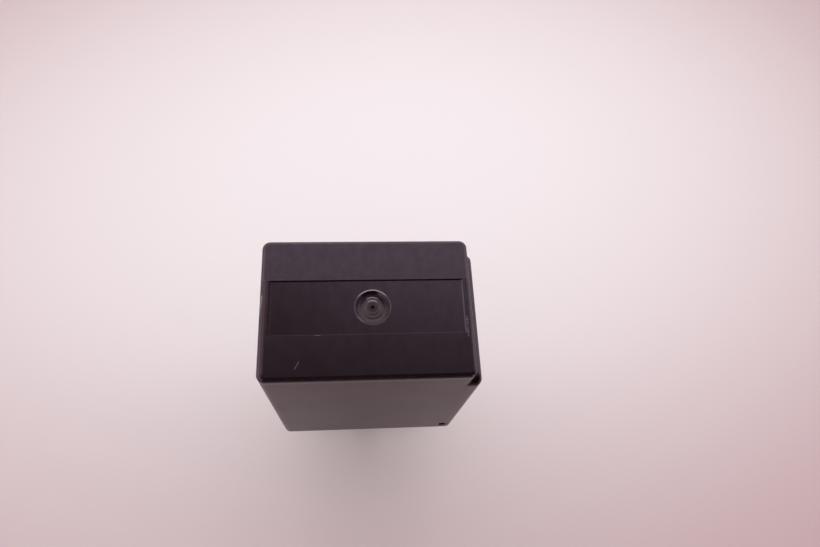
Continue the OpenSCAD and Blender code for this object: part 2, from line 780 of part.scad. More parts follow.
module resistor() {
  cap_len = 0.9;
  color("#7fb0c4")
    translate([resistor_x, 0, resistor_z])
      rotate([90, 0, 0]) {
        cylinder(h = resistor_len - cap_len, d = resistor_dia * 0.86, center = true);
        for (side = [0, 1])
          mirror([0, 0, side])
            translate([0, 0, resistor_len / 2 - cap_len]) cylinder(h = cap_len, d = resistor_dia);
      }
}

// Two leads, each out of a cap, round a corner and along to its coil terminal's post
module resistor_leads() {
  elbow_r = 0.7;
  color("#c9c9c6")
    for (side = [0, 1])
      mirror([0, side, 0]) {
        elbow = [resistor_x - elbow_r, lead_y - elbow_r, resistor_z];
        rod([resistor_x, resistor_len / 2 + touch, resistor_z], [resistor_x, elbow[1], resistor_z], lead_dia);
        translate(elbow) rotate_extrude(angle = 90) translate([elbow_r, 0]) circle(d = lead_dia, $fn = 24);
        rod([elbow[0], lead_y, resistor_z], [post_x - post_w / 2, lead_y, resistor_z], lead_dia);
      }
}

cover();
base();
terminal_30();
terminal_87();
terminal_87a();
terminal_85();
terminal_86();
bobbin();
winding();
core();
yoke();
armature();
contact_spring();
spring_rivets();
armature_rivets();
moving_contact();
working_contact();
resting_contact();
resistor();
resistor_leads();
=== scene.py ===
import bpy, math
import numpy as np
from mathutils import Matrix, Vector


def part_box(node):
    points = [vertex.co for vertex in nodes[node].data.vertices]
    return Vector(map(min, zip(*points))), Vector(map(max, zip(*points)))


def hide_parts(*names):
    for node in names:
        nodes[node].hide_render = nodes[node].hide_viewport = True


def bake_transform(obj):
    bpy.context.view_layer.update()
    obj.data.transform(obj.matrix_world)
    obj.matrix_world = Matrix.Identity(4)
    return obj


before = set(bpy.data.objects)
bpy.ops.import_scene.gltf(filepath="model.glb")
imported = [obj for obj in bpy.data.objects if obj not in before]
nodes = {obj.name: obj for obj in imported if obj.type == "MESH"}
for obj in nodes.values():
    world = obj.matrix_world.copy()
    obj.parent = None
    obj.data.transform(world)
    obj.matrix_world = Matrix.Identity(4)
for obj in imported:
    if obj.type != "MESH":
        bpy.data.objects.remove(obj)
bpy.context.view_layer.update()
mm = 0.001
print("frame loaded:", len(nodes), "CAD nodes")


class Bench:
    # short ways to add and join nodes in one tree
    def __init__(self, tree):
        self.nodes, self.links = tree.nodes, tree.links

    def feed(self, socket, value):
        if isinstance(value, bpy.types.NodeSocket):
            self.links.new(value, socket)
        else:
            socket.default_value = value

    def add(self, kind, inputs=None, **settings):
        node = self.nodes.new(kind)
        for name, value in settings.items():
            setattr(node, name, value)
        for name, value in (inputs or {}).items():
            self.feed(node.inputs[name], value)
        return node

    def math(self, operation, *values, clamp=False):
        node = self.add("ShaderNodeMath", operation=operation, use_clamp=clamp)
        for socket, value in zip(node.inputs, values):
            self.feed(socket, value)
        return node.outputs[0]

    def times(self, first, *others):
        for other in others:
            first = self.math("MULTIPLY", first, other)
        return first

    def greatest(self, first, *others):
        for other in others:
            first = self.math("MAXIMUM", first, other)
        return first

    def apart(self, value, middle):
        return self.math("ABSOLUTE", self.math("SUBTRACT", value, middle))

    def lessened(self, value, mask, share):
        # less by this share where the mask is 1
        return self.times(value, self.math("MULTIPLY_ADD", mask, -share, 1.0))

    def smooth(self, value, none, full):
        # smooth step of value: 0 at none and 1 at full, whichever of the two is greater
        node = self.add("ShaderNodeMapRange", {"Value": value, "From Min": none, "From Max": full},
                        interpolation_type="SMOOTHSTEP")
        return node.outputs["Result"]

    def mix(self, factor, first, second):
        node = self.add("ShaderNodeMix", data_type="RGBA", clamp_factor=True)
        # the sockets of a colour mix: factor, first and second colour
        for number, value in ((0, factor), (6, first), (7, second)):
            self.feed(node.inputs[number], value)
        return node.outputs[2]

    def vector(self, operation, *values, output=0):
        node = self.add("ShaderNodeVectorMath", operation=operation)
        for socket, value in zip(node.inputs, values):
            self.feed(socket, value)
        return node.outputs[output]

    def scaled(self, vector, amount):
        node = self.add("ShaderNodeVectorMath", {"Vector": vector, "Scale": amount}, operation="SCALE")
        return node.outputs[0]

    def split(self, vector):
        return self.add("ShaderNodeSeparateXYZ", {"Vector": vector}).outputs

    def flatLength(self, x, y):
        return self.vector("LENGTH", self.add("ShaderNodeCombineXYZ", {"X": x, "Y": y}).outputs[0], output=1)

    def noise(self, vector, scale, detail=2.0, roughness=0.5, distortion=0.0):
        node = self.add("ShaderNodeTexNoise", {"Vector": vector, "Scale": scale, "Detail": detail,
                                               "Roughness": roughness, "Distortion": distortion})
        return node.outputs["Fac"]

    def place(self, unit):
        # Object coordinates in this unit, which is given in metres
        return self.scaled(self.add("ShaderNodeTexCoord").outputs["Object"], 1.0 / unit)

    def bump(self, height, distance, strength):
        return self.add("ShaderNodeBump", {"Height": height, "Distance": distance,
                                           "Strength": strength}).outputs["Normal"]


def newGroup(name, inputs, outputs):
    # inputs by name with their defaults; Position, which is always linked, comes before them
    tree = bpy.data.node_groups.new(name, "ShaderNodeTree")
    tree.interface.new_socket(name="Position", in_out="INPUT", socket_type="NodeSocketVector")
    for socketName, default in inputs.items():
        kind = "NodeSocketVector" if isinstance(default, tuple) else "NodeSocketFloat"
        socket = tree.interface.new_socket(name=socketName, in_out="INPUT", socket_type=kind)
        socket.default_value = default
    for socketName in outputs:
        tree.interface.new_socket(name=socketName, in_out="OUTPUT", socket_type="NodeSocketFloat")
    bench = Bench(tree)
    return tree, bench, bench.add("NodeGroupInput").outputs, bench.add("NodeGroupOutput").inputs


def useGroup(bench, tree, place, **inputs):
    # an underscore in a name stands for a space
    node = bench.add("ShaderNodeGroup", {"Position": place}, node_tree=tree)
    for name, value in inputs.items():
        bench.feed(node.inputs[name.replace("_", " ")], value)
    return node.outputs


def newMaterial(name, **plain):
    # plain values of the shader's sockets; an underscore in a name stands for a space
    material = bpy.data.materials.new(name)
    material.use_nodes = True
    bench = Bench(material.node_tree)
    shader = material.node_tree.nodes["Principled BSDF"].inputs
    for socketName, value in plain.items():
        shader[socketName.replace("_", " ")].default_value = value
    return material, bench, shader


def brighter(tone, gain):
    return tuple(c * gain for c in tone[:3]) + (1,)


def meshFrom(name, points, faces):
    mesh = bpy.data.meshes.new(name)
    mesh.from_pydata(points.tolist(), [], faces.tolist())
    mesh.validate()
    made = bpy.data.objects.new(name, mesh)
    bpy.context.scene.collection.objects.link(made)
    return made


def quads(numbers, flip=False):
    # faces between the neighbours in a grid of point numbers
    cells = np.stack([numbers[:-1, :-1], numbers[1:, :-1], numbers[1:, 1:], numbers[:-1, 1:]], -1)
    cells = cells.reshape(-1, 4)
    return cells[:, ::-1] if flip else cells


effects = {
    # grain: scale of the wide pits beside the fine ones, their share of the height; bend of the flow marks
    "widePits": 0.35, "wideShare": 0.4, "flowBend": 0.4,
    # noise that breaks up worn edges: its scale, where the mask begins as a share of Break up, and its fade
    "edgeNoise": 2.2, "edgeFrom": 0.6, "edgeFade": 0.25,
    # noise that breaks up marks: its scale and the mask's fade
    "markNoise": 6.0, "markFade": 0.2,
    # scratches: half width in the noise's own value; scale of their patches, where these begin and are full
    "lineHalf": 0.03, "linePatch": 0.7, "linePatchFrom": (0.62, 0.42),
    # dust: the share of a speck's size that is full
    "speckFull": 0.4,
}


def makeGrain():
    # Height: fine pits and others about three times as wide. Patches: slow variation, such as flow marks.
    tree, b, i, o = newGroup("mouldGrain", {"Size": 0.1, "Patch size": 4.0}, ["Height", "Patches"])
    fine = b.noise(i["Position"], b.math("DIVIDE", 1.0, i["Size"]), detail=3.0, roughness=0.6)
    wide = b.noise(i["Position"], b.math("DIVIDE", effects["widePits"], i["Size"]), detail=1.0)
    slow = b.noise(i["Position"], b.math("DIVIDE", 1.0, i["Patch size"]), roughness=0.55,
                   distortion=effects["flowBend"])
    b.feed(o["Height"], b.math("MULTIPLY_ADD", wide, effects["wideShare"],
                               b.times(fine, 1.0 - effects["wideShare"])))
    b.feed(o["Patches"], slow)
    return tree


def makeBoxWear():
    # Edges of a box given by its centre and half size. x, y and z are the ways in from its nearest sides. The
    # distance to the nearest edge is the root of the least sum of the squares of two of them. Noise breaks
    # the mask up.
    tree, b, i, o = newGroup("boxEdgeWear", {"Centre": (0, 0, 0), "Half size": (1, 1, 1), "Width": 0.3,
                                             "Break up": 0.5}, ["Mask"])
    fromCentre = b.vector("ABSOLUTE", b.vector("SUBTRACT", i["Position"], i["Centre"]))
    inward = b.split(b.vector("SUBTRACT", i["Half size"], fromCentre))
    x, y, z = [b.math("MAXIMUM", side, 0.0) for side in inward]
    xy, yz, xz = [b.math("ADD", b.times(p, p), b.times(q, q)) for p, q in ((x, y), (y, z), (x, z))]
    near = b.math("SQRT", b.math("MINIMUM", b.math("MINIMUM", xy, yz), xz))
    close = b.math("SUBTRACT", 1.0, b.math("DIVIDE", near, i["Width"]), clamp=True)
    rough = b.noise(i["Position"], effects["edgeNoise"], detail=4.0, roughness=0.7)
    begins = b.times(i["Break up"], effects["edgeFrom"])
    broken = b.smooth(rough, begins, b.math("ADD", begins, effects["edgeFade"]))
    b.feed(o["Mask"], b.times(close, broken))
    return tree


def makeSegmentMark():
    # One short mark: distance from the segment between two points, faded out at Width and broken by noise
    tree, b, i, o = newGroup("segmentMark", {"Start": (0, 0, 0), "End": (1, 0, 0), "Width": 0.1,
                                             "Break up": 0.3}, ["Mask"])
    run = b.vector("SUBTRACT", i["End"], i["Start"])
    along = b.vector("SUBTRACT", i["Position"], i["Start"])
    share = b.math("DIVIDE", b.vector("DOT_PRODUCT", along, run, output=1),
                   b.vector("DOT_PRODUCT", run, run, output=1), clamp=True)
    distance = b.vector("LENGTH", b.vector("SUBTRACT", along, b.scaled(run, share)), output=1)
    rough = b.noise(i["Position"], effects["markNoise"], detail=3.0, roughness=0.6)
    broken = b.smooth(rough, i["Break up"], b.math("ADD", i["Break up"], effects["markFade"]))
    b.feed(o["Mask"], b.times(b.smooth(distance, i["Width"], 0.0), broken))
    return tree


def makeScratches():
    # Lines along one axis: noise stretched by Stretch. The mask has only the thin lines where the noise
    # crosses its middle, and those only in patches.
    tree, b, i, o = newGroup("fineScratches", {"Stretch": (8, 8, 0.4), "Amount": 0.5}, ["Mask", "Height"])
    lines = b.noise(b.vector("MULTIPLY", i["Position"], i["Stretch"]), 1.0, detail=1.0)
    thin = b.smooth(b.apart(lines, 0.5), effects["lineHalf"], 0.0)
    patches = b.smooth(b.noise(i["Position"], effects["linePatch"]), *effects["linePatchFrom"])
    b.feed(o["Mask"], b.times(thin, patches, i["Amount"]))
    b.feed(o["Height"], lines)
    return tree


def makeDust():
    # Small specks: cells of a Voronoi pattern, of which some have a dot at their centre
    tree, b, i, o = newGroup("dustSpecks", {"Spacing": 1.2, "Size": 0.05, "Share": 0.3}, ["Mask"])
    cell = b.add("ShaderNodeTexVoronoi", {"Vector": i["Position"], "Randomness": 1.0,
                                          "Scale": b.math("DIVIDE", 1.0, i["Spacing"])}).outputs
    reach = b.times(cell["Distance"], i["Spacing"])
    dot = b.smooth(reach, i["Size"], b.times(i["Size"], effects["speckFull"]))
    pick = b.math("LESS_THAN", b.split(cell["Color"])[0], i["Share"])
    b.feed(o["Mask"], b.times(dot, pick))
    return tree


grain, boxWear, segmentMark = makeGrain(), makeBoxWear(), makeSegmentMark()
scratches, dust = makeScratches(), makeDust()
print("shared effects built")


# pale tone of worn spots, also used for painted highlights
wornAndHighlightTone = (0.2, 0.17, 0.185, 1)

coverLook = {
    "tone": (0.006, 0.0027, 0.0038, 1), "patchGain": 1.25, "tint": (1.0, 0.8, 1.0, 1),
    # what lies over the tone, in this order: mask, share and colour
    # the sides' tone, then the front face's redder, lighter tone, which is painted reflection of the pink
    # floor
    "layers": [("sides", 1.0, (0.011, 0.0065, 0.0065, 1)), ("front", 1.0, (0.02, 0.0045, 0.004, 1)),
               # edge wear, then a reddish mark and a painted reflection along the top's left edge
               ("edges", 0.12, (0.185, 0.13, 0.14, 1)), ("redMarkAndEdgeReflection", 1.0, (0.06, 0.034, 0.037, 1)),
               # pale wear and painted highlights, then dust specks
               ("wearAndHighlightMarks", 1.0, wornAndHighlightTone), ("specks", 0.35, (0.35, 0.33, 0.33, 1)),
               # painted light: the inside of the dimple lighter, and its front slope lighter still
               ("dimple", 1.0, (0.034, 0.021, 0.028, 1)), ("dimpleLitSlope", 0.75, (0.064, 0.051, 0.05, 1)),
               # the stump's lighter tone, then painted highlights on the dimple's rings
               ("stump", 1.0, (0.032, 0.024, 0.022, 1)), ("dimpleHighlight", 1.0, wornAndHighlightTone),
               # painted shade: near black over the ledge, the corner above it and the panel's left wall
               ("paintedShade", 0.7, (0.003, 0.001, 0.001, 1))],
    # specular level beside the panel, what each zone adds, the shares then lost, and the slow variation
    "shine": 0.36,
    "shineAdded": [("backBand", 0.19), ("frontBand", 0.05), ("panel", 0.06), ("sides", 0.09),
                   ("panelLeft", -0.13)],
    "shineLost": [("front", 0.12), ("darkMarks", 0.9), ("paintedShade", 0.93)],
    "dulled": [("dimpleLitSlope", 0.55), ("stump", 0.6), ("besideLip", 0.5)],     # the greatest is lost too
    "mottleTop": 0.65, "mottleSides": 0.1, "mottleStretch": (1.0, 0.55, 0.3), "mottleScale": 1.1,
    # roughness of the top, what zones add, and the slow variation
    "roughness": 0.26, "roughnessAdded": [("backBand", 0.12), ("sides", 0.09)], "patchRoughness": 0.06,
    # grain: sizes in mm, depth in m, and the share of it that is everywhere, not on the back band alone
    "grainSize": 0.09, "grainPatch": 5.0, "grainDepth": 0.00003, "grainStrength": 0.5, "grainShare": 0.25,

    # From here in mm. Each pair is where a zone begins and where it is full.
    "top": (38.94, 38.98), "sides": (38.2, 37.9), "front": (-7.3, -7.6),
    "backBand": (2.98, 3.02), "frontBand": (-2.98, -3.02),
    "panelMiddle": -0.55, "panelHalfWidth": (10.17, 10.13), "panelHalfDepth": (3.02, 2.98),
    "panelHeight": (38.0, 38.2), "panelLeft": (2.0, -10.5), "panelWall": (-10.5, -10.56),
    # painted shade, which darkens the colour and takes the shine: strength, then x, y, up from below and down
    # from above, of the shoulder's ledge and of the corner above it; and the strength on the panel's left
    # wall
    "paintedShadeZones": [(1.0, (10.40, 10.46), (-6.0, -6.9), (35.33, 35.37), (35.6, 35.5)),
               (0.9, (9.3, 10.1), (-6.2, -7.2), (35.3, 35.4), (38.95, 38.0))],
    "wallPaintedShade": 0.8,
    # the box that wears at its edges, and the dust
    "boxCentre": (-0.55, 0.0, 25.0), "boxHalf": (11.0, 7.65, 14.0), "edgeWidth": 0.35,
    "speckSpacing": 1.6, "speckSize": 0.06, "speckShare": 0.25,
    # radii round the dimple's middle, heights, and sectors, which run from 1 behind it to -1 before it
    "dimple": (1.55, 1.45), "dimpleHeight": (38.5, 38.6), "dimpleHighlightHeight": (38.4, 38.45),
    "litSlopeOuter": (1.8, 1.6), "litSlopeInner": (0.3, 0.5), "litSlopeSector": (0.45, -0.25),
    "litSlopeHeight": (38.4, 38.5), "stump": (0.62, 0.5), "stumpHeight": (38.3, 38.4),
    "lipRadius": 1.88, "lipWidth": (0.16, 0.1), "lipSector": (0.85, 0.5),
    # painted highlights in the dimple, pale arcs on its rings behind its middle and a fainter one before it:
    # radius, half width, strength and sector
    "dimpleHighlightRings": [(1.86, 0.1, 0.9, (0.5, 0.85)), (1.17, 0.11, 1.0, (0.8, 0.95)),
                  (0.78, 0.11, 1.0, (0.7, 0.9)), (1.84, 0.16, 0.35, (-0.3, -0.8))],
    # pale, dark and reddish marks: start, end, width, strength and break-up. The first three pale ones are
    # wear; the dark ones only take shine away, the last as a soft blob beside the latch window
    "wearAndHighlightMarks": [((-7.8, -6.4, 39), (-7.4, -5.7, 39), 0.075, 0.42, 0.3),
                  ((-5.9, -3.0, 39), (-5.35, -3.0, 39), 0.09, 0.35, 0.3),
                  ((9.75, -1.3, 39), (9.75, -3.3, 39), 0.22, 0.6, 0.42),
                  # painted highlights from here on: along the top's left edge and along the block's
                  # front-right corner
                  ((-11.35, 1.3, 38.95), (-11.5, -0.7, 38.8), 0.16, 1.0, 0.3),
                  ((9.95, -7.5, 38.85), (9.75, -7.65, 37.4), 0.14, 1.0, 0.2),
                  ((9.75, -7.65, 37.4), (9.5, -7.65, 36.1), 0.12, 0.7, 0.3),
                  ((10.3, -7.1, 38.97), (10.35, -7.5, 38.7), 0.14, 0.8, 0.2)],
    "darkMarks": [((-7.8, -7.65, 36.8), (-7.0, -7.65, 36.8), 0.14, 0.6, 0.1),
                  ((8.9, -7.65, 34.0), (10.75, -7.65, 32.6), 0.16, 0.6, 0.1),
                  ((-10.6, -7.65, 27.5), (-10.0, -7.65, 24.0), 0.3, 0.5, 0.1),
                  ((10.4, -7.65, 13.3), (11.1, -7.6, 12.2), 0.7, 0.9, 0.0)],
    "redMarkAndEdgeReflection": [((-10.7, 3.0, 38.95), (-10.6, -3.0, 38.9), 0.45, 0.35, 0.35),
                 # painted reflection: a lighter reddish strip along the top's left edge
                 ((-11.08, 3.0, 39), (-11.04, -6.8, 39), 0.26, 0.9, 0.25)],
}


def coverMasks(b, place):
    # a mask by place, from 0 to 1, for each zone, mark and worn spot of the cover
    look = coverLook
    x, y, z = b.split(place)
    top = b.smooth(z, *look["top"])
    masks = {
        "sides": b.smooth(z, *look["sides"]),
        "backBand": b.times(b.smooth(y, *look["backBand"]), top),
        "frontBand": b.times(b.smooth(y, *look["frontBand"]), top),
        "panel": b.times(b.smooth(b.math("ABSOLUTE", y), *look["panelHalfDepth"]),
                         b.smooth(b.apart(x, look["panelMiddle"]), *look["panelHalfWidth"]),
                         b.smooth(z, *look["panelHeight"])),
        "edges": useGroup(b, boxWear, place, Centre=look["boxCentre"], Half_size=look["boxHalf"],
                          Width=look["edgeWidth"])["Mask"],
        "specks": useGroup(b, dust, place, Spacing=look["speckSpacing"], Size=look["speckSize"],
                           Share=look["speckShare"])["Mask"],
    }
    masks["front"] = b.times(masks["sides"], b.smooth(y, *look["front"]))
    masks["panelLeft"] = b.times(masks["panel"], b.smooth(x, *look["panelLeft"]))

    # painted shade on the panel's left wall, the shoulder's ledge and the corner above it
    paintedShade = b.times(masks["panel"], b.smooth(x, *look["panelWall"]), look["wallPaintedShade"])
    for strength, inX, inY, above, below in look["paintedShadeZones"]:
        corner = b.times(b.smooth(x, *inX), b.smooth(y, *inY), b.smooth(z, *above), b.smooth(z, *below))
        paintedShade = b.greatest(paintedShade, b.times(corner, strength))
    masks["paintedShade"] = paintedShade

    for kind in ("wearAndHighlightMarks", "darkMarks", "redMarkAndEdgeReflection"):
        masks[kind] = 0.0
        for start, end, width, strength, breakUp in look[kind]:
            mark = useGroup(b, segmentMark, place, Start=start, End=end, Width=width, Break_up=breakUp)
            masks[kind] = b.greatest(masks[kind], b.times(mark["Mask"], strength))

    # round the dimple: the distance from its middle, and the sector as y over that distance, kept off zero
    reach = b.flatLength(x, y)
    facing = b.math("DIVIDE", y, b.math("MAXIMUM", reach, 0.01))
    # painted light: the inside of the dimple lighter, its front slope lighter still and less shiny
    masks["dimple"] = b.times(b.smooth(reach, *look["dimple"]), b.smooth(z, *look["dimpleHeight"]))
    masks["dimpleLitSlope"] = b.times(b.smooth(reach, *look["litSlopeOuter"]), b.smooth(reach, *look["litSlopeInner"]),
                                  b.smooth(facing, *look["litSlopeSector"]), b.smooth(z, *look["litSlopeHeight"]))
    masks["stump"] = b.times(b.smooth(reach, *look["stump"]), b.smooth(z, *look["stumpHeight"]))
    masks["besideLip"] = b.times(b.smooth(b.apart(reach, look["lipRadius"]), *look["lipWidth"]),
                                 b.smooth(b.math("ABSOLUTE", facing), *look["lipSector"]), top)
    # painted highlights: pale arcs on the dimple's rings
    dimpleHighlight = 0.0
    for radius, width, strength, sector in look["dimpleHighlightRings"]:
        ring = b.smooth(b.apart(reach, radius), width, width * 0.5)
        dimpleHighlight = b.greatest(dimpleHighlight, b.times(ring, b.smooth(facing, *sector), strength))
    masks["dimpleHighlight"] = b.times(dimpleHighlight, b.smooth(z, *look["dimpleHighlightHeight"]))
    return masks


def makeCoverPlastic():
    # Fine-grained black plastic. The masks say where it is redder, worn, dusty, duller or rougher.
    look = coverLook
    material, b, shader = newMaterial("coverPlastic", IOR=1.5, Specular_Tint=look["tint"])
    place = b.place(mm)
    masks = coverMasks(b, place)
    texture = useGroup(b, grain, place, Size=look["grainSize"], Patch_size=look["grainPatch"])

    def added(value, changes):
        for name, change in changes:
            value = b.math("MULTIPLY_ADD", masks[name], change, value)
        return value

    tone = b.mix(texture["Patches"], look["tone"], brighter(look["tone"], look["patchGain"]))
    for name, share, colour in look["layers"]:
        tone = b.mix(b.times(masks[name], share), tone, colour)
    b.feed(shader["Base Color"], tone)

    shine = added(look["shine"], look["shineAdded"])
    for name, share in look["shineLost"]:
        shine = b.lessened(shine, masks[name], share)
    dulled = b.greatest(*[b.times(masks[name], share) for name, share in look["dulled"]])
    mottle = b.noise(b.vector("MULTIPLY", place, look["mottleStretch"]), look["mottleScale"],
                     detail=4.0, roughness=0.65)
    mottling = added(look["mottleTop"], [("sides", look["mottleSides"] - look["mottleTop"])])
    mottle = b.math("MULTIPLY_ADD", b.math("SUBTRACT", mottle, 0.5), mottling, 1.0)
    b.feed(shader["Specular IOR Level"], b.times(b.lessened(shine, dulled, 1.0), mottle))

    roughness = added(look["roughness"], look["roughnessAdded"])
    patches = b.math("SUBTRACT", texture["Patches"], 0.5)
    b.feed(shader["Roughness"], b.math("MULTIPLY_ADD", patches, look["patchRoughness"], roughness))
    depth = added(look["grainShare"], [("backBand", 1.0 - look["grainShare"])])
    height = b.times(texture["Height"], depth)
    b.feed(shader["Normal"], b.bump(height, look["grainDepth"], look["grainStrength"]))
    return material


plasticLook = {
    "patchSize": 3.0, "patchGain": 1.35, "roughnessRange": 0.16, "grainStrength": 0.6,     # size in mm
    "dusty": (0.4, 0.38, 0.37, 1), "speckAmount": 0.3,
}


def makePlastic(name, tone, grainSize, roughness, grainDepth):
    # moulded plastic with an even grain, slow colour variation and a little dust
    look = plasticLook
    material, b, shader = newMaterial(name, IOR=1.5)
    place = b.place(mm)
    texture = useGroup(b, grain, place, Size=grainSize, Patch_size=look["patchSize"])
    specks = b.times(useGroup(b, dust, place)["Mask"], look["speckAmount"])
    colour = b.mix(texture["Patches"], tone, brighter(tone, look["patchGain"]))
    b.feed(shader["Base Color"], b.mix(specks, colour, look["dusty"]))
    b.feed(shader["Roughness"], b.math("MULTIPLY_ADD", texture["Patches"], look["roughnessRange"],
                                       roughness - look["roughnessRange"] / 2))
    b.feed(shader["Normal"], b.bump(texture["Height"], grainDepth, look["grainStrength"]))
    return material


metalLook = {
    "lineAmount": 0.6, "lineRoughness": 0.15, "lineDepth": 0.000004, "lineStrength": 0.5,     # depth in m
    "cloudScale": 0.45, "cloudFrom": (0.35, 0.75), "cloudAmount": 0.55, "cloudRoughness": 0.14,
}


def makeMetal(name, tone, dull, roughness, stretch):
    # rolled or plated metal: fine lines along one axis, dull patches and slow variation of gloss
    look = metalLook
    material, b, shader = newMaterial(name, Metallic=1.0)
    place = b.place(mm)
    lines = useGroup(b, scratches, place, Stretch=stretch, Amount=look["lineAmount"])
    patches = b.noise(place, look["cloudScale"], detail=3.0)
    clouded = b.times(b.smooth(patches, *look["cloudFrom"]), look["cloudAmount"])
    b.feed(shader["Base Color"], b.mix(clouded, tone, dull))
    gloss = b.math("MULTIPLY_ADD", clouded, look["cloudRoughness"], roughness)
    b.feed(shader["Roughness"], b.math("MULTIPLY_ADD", lines["Mask"], look["lineRoughness"], gloss))
    b.feed(shader["Normal"], b.bump(lines["Height"], look["lineDepth"], look["lineStrength"]))
    return material


windingLook = {
    "dark": (0.42, 0.13, 0.045, 1), "light": (0.56, 0.2, 0.075, 1), "patchScale": 0.8,
    "metallic": 0.85, "roughness": 0.3, "coat": 0.6, "coatRoughness": 0.12,
    "stretch": (0.6, 0.6, 14.0), "lineAmount": 0.5, "lineRoughness": 0.12,
    "lineDepth": 0.00001, "lineStrength": 0.5,     # depth in m
}


def makeWinding():
    # enamelled copper wire: the solid has the turns, so only the enamel's colour and fine lines are added
    look = windingLook
    material, b, shader = newMaterial("enamelledWire", Metallic=look["metallic"], Coat_Weight=look["coat"],
                                      Coat_Roughness=look["coatRoughness"])
    place = b.place(mm)
    lines = useGroup(b, scratches, place, Stretch=look["stretch"], Amount=look["lineAmount"])
    patches = b.noise(place, look["patchScale"], detail=3.0)
    b.feed(shader["Base Color"], b.mix(patches, look["dark"], look["light"]))
    b.feed(shader["Roughness"], b.math("MULTIPLY_ADD", lines["Mask"], look["lineRoughness"],
                                       look["roughness"]))
    b.feed(shader["Normal"], b.bump(lines["Height"], look["lineDepth"], look["lineStrength"]))
    return material


resistorLook = {
    "body": (0.30, 0.42, 0.47, 1), "stained": (0.2, 0.2, 0.2, 1), "stainAmount": 0.2,
    "roughness": 0.35, "coat": 0.3, "coatRoughness": 0.15,
    "grainSize": 0.15, "grainDepth": 0.00001, "grainStrength": 0.4,     # size in mm, depth in m
    # the rings' half width at the edge and inside it, and each ring's place along the axis in mm and colour
    "ringEdge": (0.21, 0.17),
    "rings": [(-1.35, (0.16, 0.055, 0.03, 1)), (-0.45, (0.02, 0.02, 0.022, 1)),
              (0.45, (0.16, 0.055, 0.03, 1)), (1.45, (0.5, 0.36, 0.12, 1))],
}


def makeResistorBody():
    # lacquered ceramic with plain rings, by distance along its axis
    look = resistorLook
    material, b, shader = newMaterial("resistorLacquer", Roughness=look["roughness"],
                                      Coat_Weight=look["coat"], Coat_Roughness=look["coatRoughness"])
    place = b.place(mm)
    y = b.split(place)[1]
    texture = useGroup(b, grain, place, Size=look["grainSize"])
    colour = look["body"]
    for middle, ring in look["rings"]:
        colour = b.mix(b.smooth(b.apart(y, middle), *look["ringEdge"]), colour, ring)
    stain = b.times(texture["Patches"], look["stainAmount"])
    b.feed(shader["Base Color"], b.mix(stain, colour, look["stained"]))
    b.feed(shader["Normal"], b.bump(texture["Height"], look["grainDepth"], look["grainStrength"]))
    return material


# tone, grain size in mm, roughness, depth of the grain in m
basePlastic = makePlastic("basePlastic", (0.014, 0.012, 0.013, 1), 0.12, 0.5, 0.00003)
bobbinPlastic = makePlastic("bobbinPlastic", (0.62, 0.56, 0.42, 1), 0.15, 0.45, 0.00002)
# tone, dull tone, roughness, stretch of the lines
tinnedBrass = makeMetal("tinnedBrass", (0.66, 0.62, 0.54, 1), (0.54, 0.5, 0.42, 1), 0.24, (7.0, 7.0, 0.07))
zincIron = makeMetal("zincIron", (0.55, 0.56, 0.57, 1), (0.42, 0.43, 0.44, 1), 0.34, (6.0, 0.08, 6.0))
springBronze = makeMetal("springBronze", (0.66, 0.4, 0.2, 1), (0.5, 0.29, 0.14, 1), 0.28, (0.08, 7.0, 0.08))
rivetMetal = makeMetal("rivetMetal", (0.6, 0.56, 0.48, 1), (0.45, 0.42, 0.36, 1), 0.32, (3.0, 3.0, 3.0))
contactSilver = makeMetal("contactSilver", (0.82, 0.8, 0.75, 1), (0.6, 0.57, 0.5, 1), 0.2, (4.0, 4.0, 4.0))
leadWire = makeMetal("leadWire", (0.7, 0.69, 0.66, 1), (0.5, 0.49, 0.46, 1), 0.28, (5.0, 0.5, 5.0))

finishes = {
    "cover": makeCoverPlastic(), "base": basePlastic, "bobbin": bobbinPlastic, "winding": makeWinding(),
    "core": zincIron, "yoke": zincIron, "armature": zincIron,
    "terminal_30": tinnedBrass, "terminal_87": tinnedBrass, "terminal_87a": tinnedBrass,
    "terminal_85": tinnedBrass, "terminal_86": tinnedBrass,
    "spring_rivets": rivetMetal, "armature_rivets": rivetMetal,
    "moving_contact": contactSilver, "working_contact": contactSilver, "resting_contact": contactSilver,
    "resistor": makeResistorBody(), "resistor_leads": leadWire, "contact_spring": springBronze,
}
for name, material in finishes.items():
    nodes[name].data.materials.clear()
    nodes[name].data.materials.append(material)
print("materials given to", len(finishes), "nodes")


springLeaf = {
    # mm: the strip, the jog beside the yoke, the knee, and the arm with its narrower end
    "thick": 0.25, "width": 6.0, "endWidth": 3.6,
    "jogOut": 0.9, "jogAngle": math.atan(3 / 4), "jogRadius": 0.5, "leadUp": 0.4,
    "kneeRadius": 1.3, "kneeTop": 32.5441, "armTilt": math.radians(3.4),
    "taperStart": 10.16, "taperEnd": 11.56, "armLength": 17.04,
    # steps of the centreline, rows and columns of points, and how far the rows crowd towards the round end
    "steps": 20000, "rows": 420, "columns": 12, "crowding": 1.6,
}


